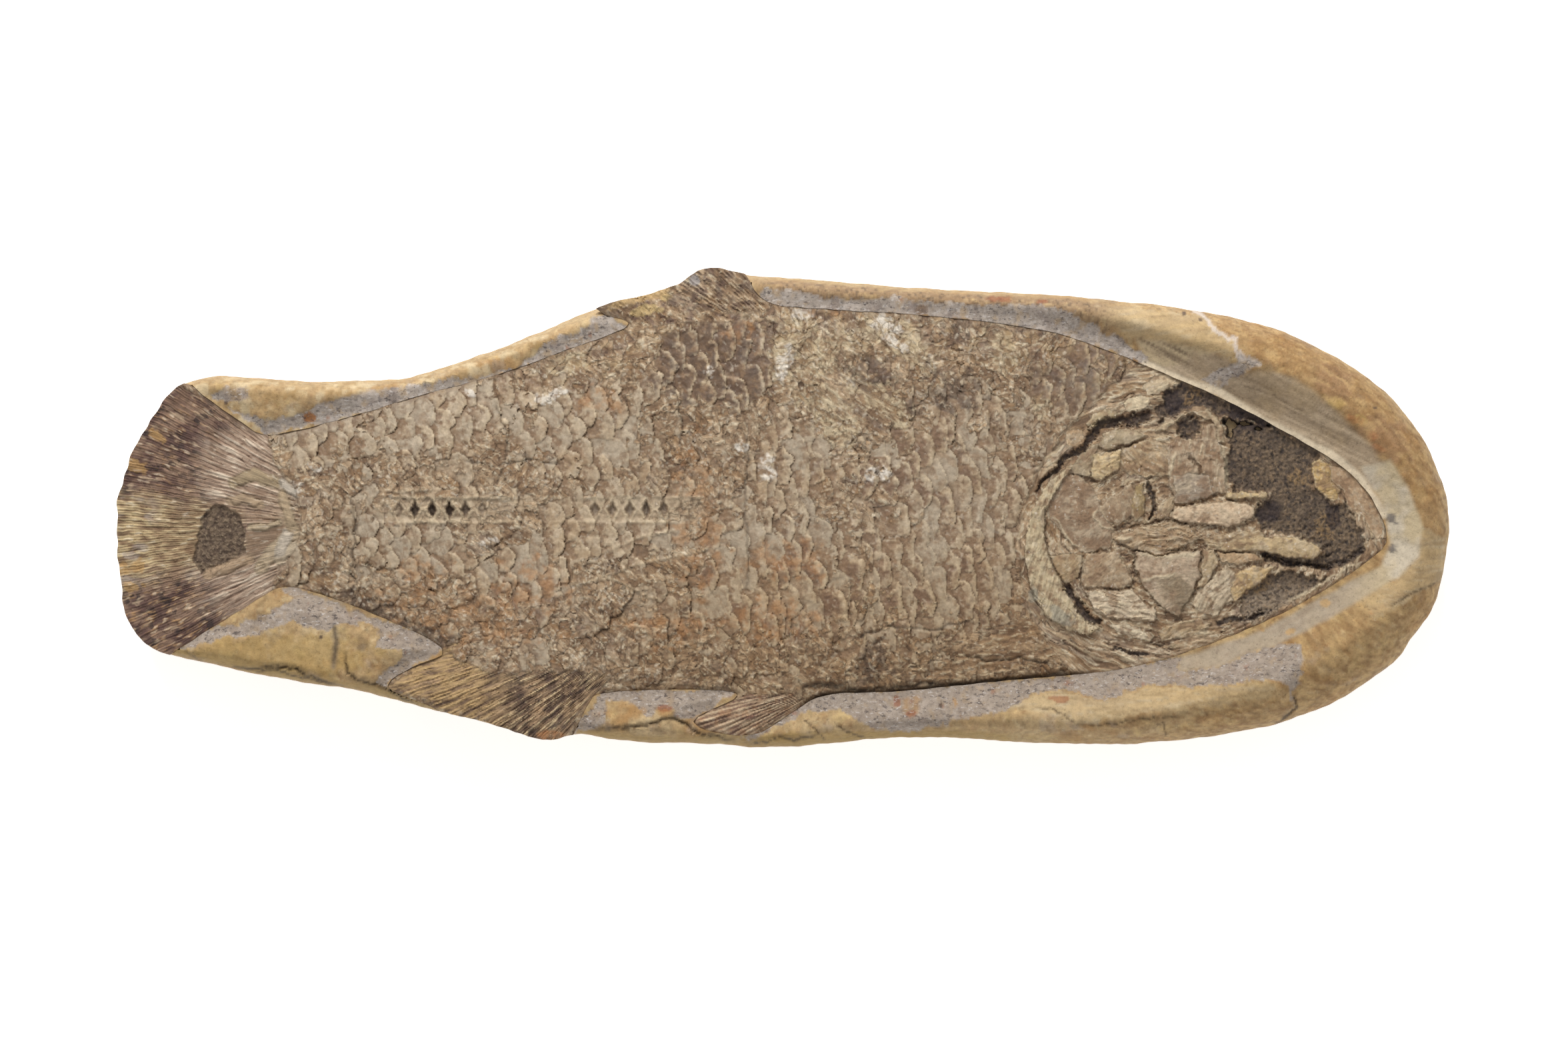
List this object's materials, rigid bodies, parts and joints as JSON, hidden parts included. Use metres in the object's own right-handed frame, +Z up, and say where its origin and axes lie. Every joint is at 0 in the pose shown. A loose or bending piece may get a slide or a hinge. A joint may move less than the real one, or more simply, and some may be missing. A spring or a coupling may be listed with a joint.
{
  "type": "fossil fish slab",
  "caption": "Long oval half of a stone nodule, rounded and rough outside, with a whole bony fish lying in relief in a cut recess on its upper face and a flat underside to rest on.",
  "frame": {"origin": "middle of the slab's length and width, on the flat underside it rests on", "axes": "+X from the fish's tail to its snout, +Y towards the fish's back, +Z up out of the fossil's face"},
  "size_m": [0.4, 0.1438, 0.0445],
  "materials": {
    "fossil_fish_slab": "matt, rough limestone with slightly glossy bone and scales"
  },
  "bodies": {
    "root": {"fossil_fish_slab": "fossil_fish_slab"}
  },
  "joints": []
}
